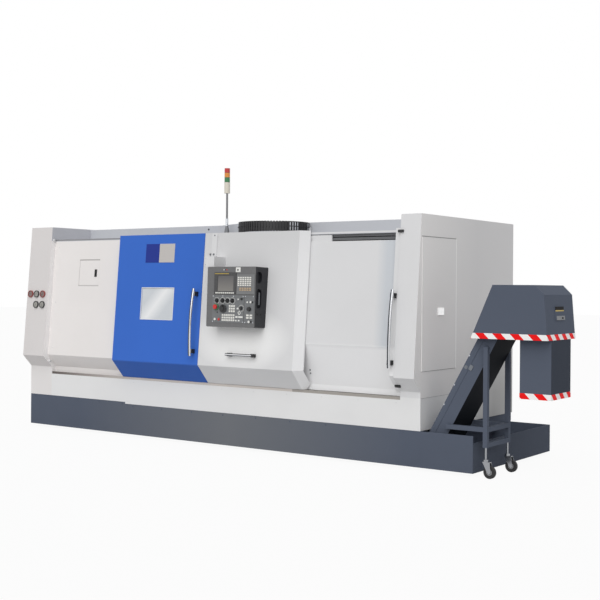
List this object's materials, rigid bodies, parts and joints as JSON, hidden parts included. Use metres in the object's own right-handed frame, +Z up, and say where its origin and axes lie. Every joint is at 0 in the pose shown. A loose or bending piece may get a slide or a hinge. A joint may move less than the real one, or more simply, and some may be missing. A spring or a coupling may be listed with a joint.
{
  "type": "cnc turning lathe",
  "caption": "Long slant-bed turning lathe in a white and blue enclosure with sliding doors, console, signal tower, coolant tank and inclined chip conveyor.",
  "frame": {"origin": "on the floor, under the middle of the whole machine's footprint", "axes": "+X from the headstock end to the chip conveyor, +Y from the operator's side to the back, +Z up"},
  "size_m": [6.382, 2.3324, 2.8668],
  "materials": {
    "painted_white": "satin powder coat",
    "painted_blue": "satin powder coat",
    "painted_grey": "satin powder coat",
    "painted_dark": "fine textured paint",
    "cast_grey": "painted casting",
    "steel": "ground",
    "rail_brown": "oiled",
    "chrome": "polished",
    "rubber": "moulded",
    "black_plastic": "moulded",
    "grey_plastic": "moulded",
    "red_plastic": "moulded",
    "green_plastic": "moulded",
    "lens": "translucent",
    "glass": "laminated pane",
    "tyre": "solid tread"
  },
  "bodies": {
    "root": {"levelling_pads": "steel", "bed_casting": "cast_grey", "coolant_tank": "painted_grey", "left_base_cover": "painted_grey", "lower_front_panel": "painted_white", "door_guide_rails": "rail_brown", "left_end_cabinet": "painted_white", "right_end_cabinet": "painted_white", "end_access_cover": "painted_white", "left_front_panel": "painted_white", "upper_housing": "painted_white", "drag_chain": "black_plastic", "pressure_gauges": "black_plastic", "door_stops": "rubber", "tower_stand": "painted_white", "tower_lenses": "lens", "headstock": "cast_grey", "drive_motors": "painted_dark", "conveyor_trough": "painted_grey", "conveyor_belt": "steel", "conveyor_hood": "painted_grey", "conveyor_chute": "painted_grey", "conveyor_control_box": "painted_dark", "conveyor_legs": "painted_grey"},
    "main_door": {"main_door": "painted_blue", "main_door_glass": "glass", "main_door_handle": "chrome"},
    "panel_door": {"panel_door": "painted_white", "panel_bar_handle": "chrome", "console_box": "painted_dark", "console_bracket": "painted_white", "console_units": "grey_plastic"},
    "tail_door": {"tail_door": "painted_white", "tail_door_handle": "chrome"},
    "spindle": {"spindle": "steel", "chuck_body": "steel"},
    "access_hatch": {"access_hatch": "painted_white"},
    "electrical_door": {"electrical_door": "painted_white"},
    "main_switch": {"main_switch": "red_plastic"},
    "emergency_stop": {"emergency_stop": "red_plastic"},
    "cycle_start_button": {"cycle_start_button": "green_plastic"},
    "feed_hold_button": {"feed_hold_button": "red_plastic"},
    "handwheel": {"handwheel": "black_plastic"},
    "mode_knob": {"mode_knob": "black_plastic"},
    "feed_knob": {"feed_knob": "black_plastic"},
    "rapid_knob": {"rapid_knob": "black_plastic"},
    "spindle_knob": {"spindle_knob": "black_plastic"},
    "chuck_jaw_1": {"chuck_jaw_1": "steel"},
    "chuck_jaw_2": {"chuck_jaw_2": "steel"},
    "chuck_jaw_3": {"chuck_jaw_3": "steel"},
    "z_ballscrew": {"z_ballscrew": "steel"},
    "carriage": {"carriage": "cast_grey"},
    "cross_slide": {"cross_slide": "cast_grey"},
    "turret_disc": {"turret_disc": "steel"},
    "tailstock": {"tailstock": "cast_grey"},
    "quill": {"quill": "steel"},
    "live_centre": {"live_centre": "steel"},
    "caster_fork_front": {"caster_fork_front": "chrome"},
    "caster_fork_rear": {"caster_fork_rear": "chrome"},
    "caster_wheel_front": {"caster_wheel_front": "tyre"},
    "caster_wheel_rear": {"caster_wheel_rear": "tyre"}
  },
  "joints": [
    {"name": "main_door_slide", "type": "slide", "parent": "root", "child": "main_door", "axis": [1, 0, 0], "range_m": [-1.1, 0]},
    {"name": "panel_door_slide", "type": "slide", "parent": "root", "child": "panel_door", "axis": [1, 0, 0], "range_m": [0, 0.94], "deforming": ["drag_chain"]},
    {"name": "tail_door_slide", "type": "slide", "parent": "root", "child": "tail_door", "axis": [1, 0, 0], "range_m": [-0.94, 0]},
    {"name": "hatch_hinge", "type": "hinge", "parent": "root", "child": "access_hatch", "pos_m": [-2.416, -0.82636, 1.637], "axis": [0, -0.0838, -0.9965], "range_deg": [0, 110]},
    {"name": "electrical_door_hinge", "type": "hinge", "parent": "root", "child": "electrical_door", "pos_m": [-0.903, 1.13022, 0.8], "axis": [0, 0, 1], "range_deg": [0, 110]},
    {"name": "main_switch_turn", "type": "hinge", "parent": "electrical_door", "child": "main_switch", "pos_m": [0.159, 1.13022, 1.5], "axis": [0, 1, 0], "range_deg": [0, 90]},
    {"name": "spindle_spin", "type": "hinge", "parent": "root", "child": "spindle", "pos_m": [-1.746, -0.20978, 1.25], "axis": [1, 0, 0], "continuous": true},
    {"name": "carriage_slide", "type": "slide", "parent": "root", "child": "carriage", "axis": [1, 0, 0], "range_m": [0, 1.15]},
    {"name": "cross_slide_feed", "type": "slide", "parent": "carriage", "child": "cross_slide", "axis": [0, 0.7071, 0.7071], "range_m": [-0.26, 0.06]},
    {"name": "turret_index", "type": "hinge", "parent": "cross_slide", "child": "turret_disc", "pos_m": [-1.391, 0.22863, 1.68841], "axis": [1, 0, 0], "continuous": true},
    {"name": "feed_screw_spin", "type": "hinge", "parent": "root", "child": "z_ballscrew", "pos_m": [-1.776, 0.1261, 0.94241], "axis": [1, 0, 0], "continuous": true},
    {"name": "tailstock_slide", "type": "slide", "parent": "root", "child": "tailstock", "axis": [1, 0, 0], "range_m": [-1.15, 0]},
    {"name": "quill_feed", "type": "slide", "parent": "tailstock", "child": "quill", "axis": [-1, 0, 0], "range_m": [0, 0.12]},
    {"name": "centre_spin", "type": "hinge", "parent": "quill", "child": "live_centre", "pos_m": [0.689, -0.20978, 1.25], "axis": [1, 0, 0], "continuous": true},
    {"name": "emergency_stop_press", "type": "slide", "parent": "panel_door", "child": "emergency_stop", "axis": [0, 0.9994, -0.035], "range_m": [0, 0.006], "stiffness_N_per_m": 2000},
    {"name": "cycle_start_press", "type": "slide", "parent": "panel_door", "child": "cycle_start_button", "axis": [0, 0.9994, -0.035], "range_m": [0, 0.003], "stiffness_N_per_m": 1500},
    {"name": "feed_hold_press", "type": "slide", "parent": "panel_door", "child": "feed_hold_button", "axis": [0, 0.9994, -0.035], "range_m": [0, 0.003], "stiffness_N_per_m": 1500},
    {"name": "handwheel_turn", "type": "hinge", "parent": "panel_door", "child": "handwheel", "pos_m": [-0.04496, -1.1279, 1.42674], "axis": [0, -0.9994, 0.035], "continuous": true},
    {"name": "mode_knob_turn", "type": "hinge", "parent": "panel_door", "child": "mode_knob", "pos_m": [-0.13072, -1.12519, 1.50411], "axis": [0, -0.9994, 0.035], "range_deg": [-60, 60]},
    {"name": "feed_knob_turn", "type": "hinge", "parent": "panel_door", "child": "feed_knob", "pos_m": [-0.05824, -1.12519, 1.50411], "axis": [0, -0.9994, 0.035], "range_deg": [-150, 150]},
    {"name": "rapid_knob_turn", "type": "hinge", "parent": "panel_door", "child": "rapid_knob", "pos_m": [0.00276, -1.12519, 1.50411], "axis": [0, -0.9994, 0.035], "range_deg": [-60, 60]},
    {"name": "spindle_knob_turn", "type": "hinge", "parent": "panel_door", "child": "spindle_knob", "pos_m": [0.06497, -1.12519, 1.50411], "axis": [0, -0.9994, 0.035], "range_deg": [-100, 100]},
    {"name": "jaw_1_slide", "type": "slide", "parent": "spindle", "child": "chuck_jaw_1", "axis": [0, 0, 1], "range_m": [-0.006, 0.006]},
    {"name": "jaw_2_slide", "type": "slide", "parent": "spindle", "child": "chuck_jaw_2", "axis": [0, -0.866, -0.5], "range_m": [-0.006, 0.006]},
    {"name": "jaw_3_slide", "type": "slide", "parent": "spindle", "child": "chuck_jaw_3", "axis": [0, 0.866, -0.5], "range_m": [-0.006, 0.006]},
    {"name": "caster_front_swivel", "type": "hinge", "parent": "root", "child": "caster_fork_front", "pos_m": [2.607, -0.77978, 0.265], "axis": [0, 0, 1], "continuous": true},
    {"name": "caster_front_roll", "type": "hinge", "parent": "caster_fork_front", "child": "caster_wheel_front", "pos_m": [2.647, -0.77978, 0.056], "axis": [0, 1, 0], "continuous": true},
    {"name": "caster_rear_swivel", "type": "hinge", "parent": "root", "child": "caster_fork_rear", "pos_m": [2.607, -0.33978, 0.265], "axis": [0, 0, 1], "continuous": true},
    {"name": "caster_rear_roll", "type": "hinge", "parent": "caster_fork_rear", "child": "caster_wheel_rear", "pos_m": [2.647, -0.33978, 0.056], "axis": [0, 1, 0], "continuous": true}
  ],
  "couplings": [
    {"joint": "feed_screw_spin", "follows": "carriage_slide", "rad_per_m": 314.16},
    {"joint": "jaw_2_slide", "follows": "jaw_1_slide", "ratio": 1},
    {"joint": "jaw_3_slide", "follows": "jaw_1_slide", "ratio": 1}
  ]
}
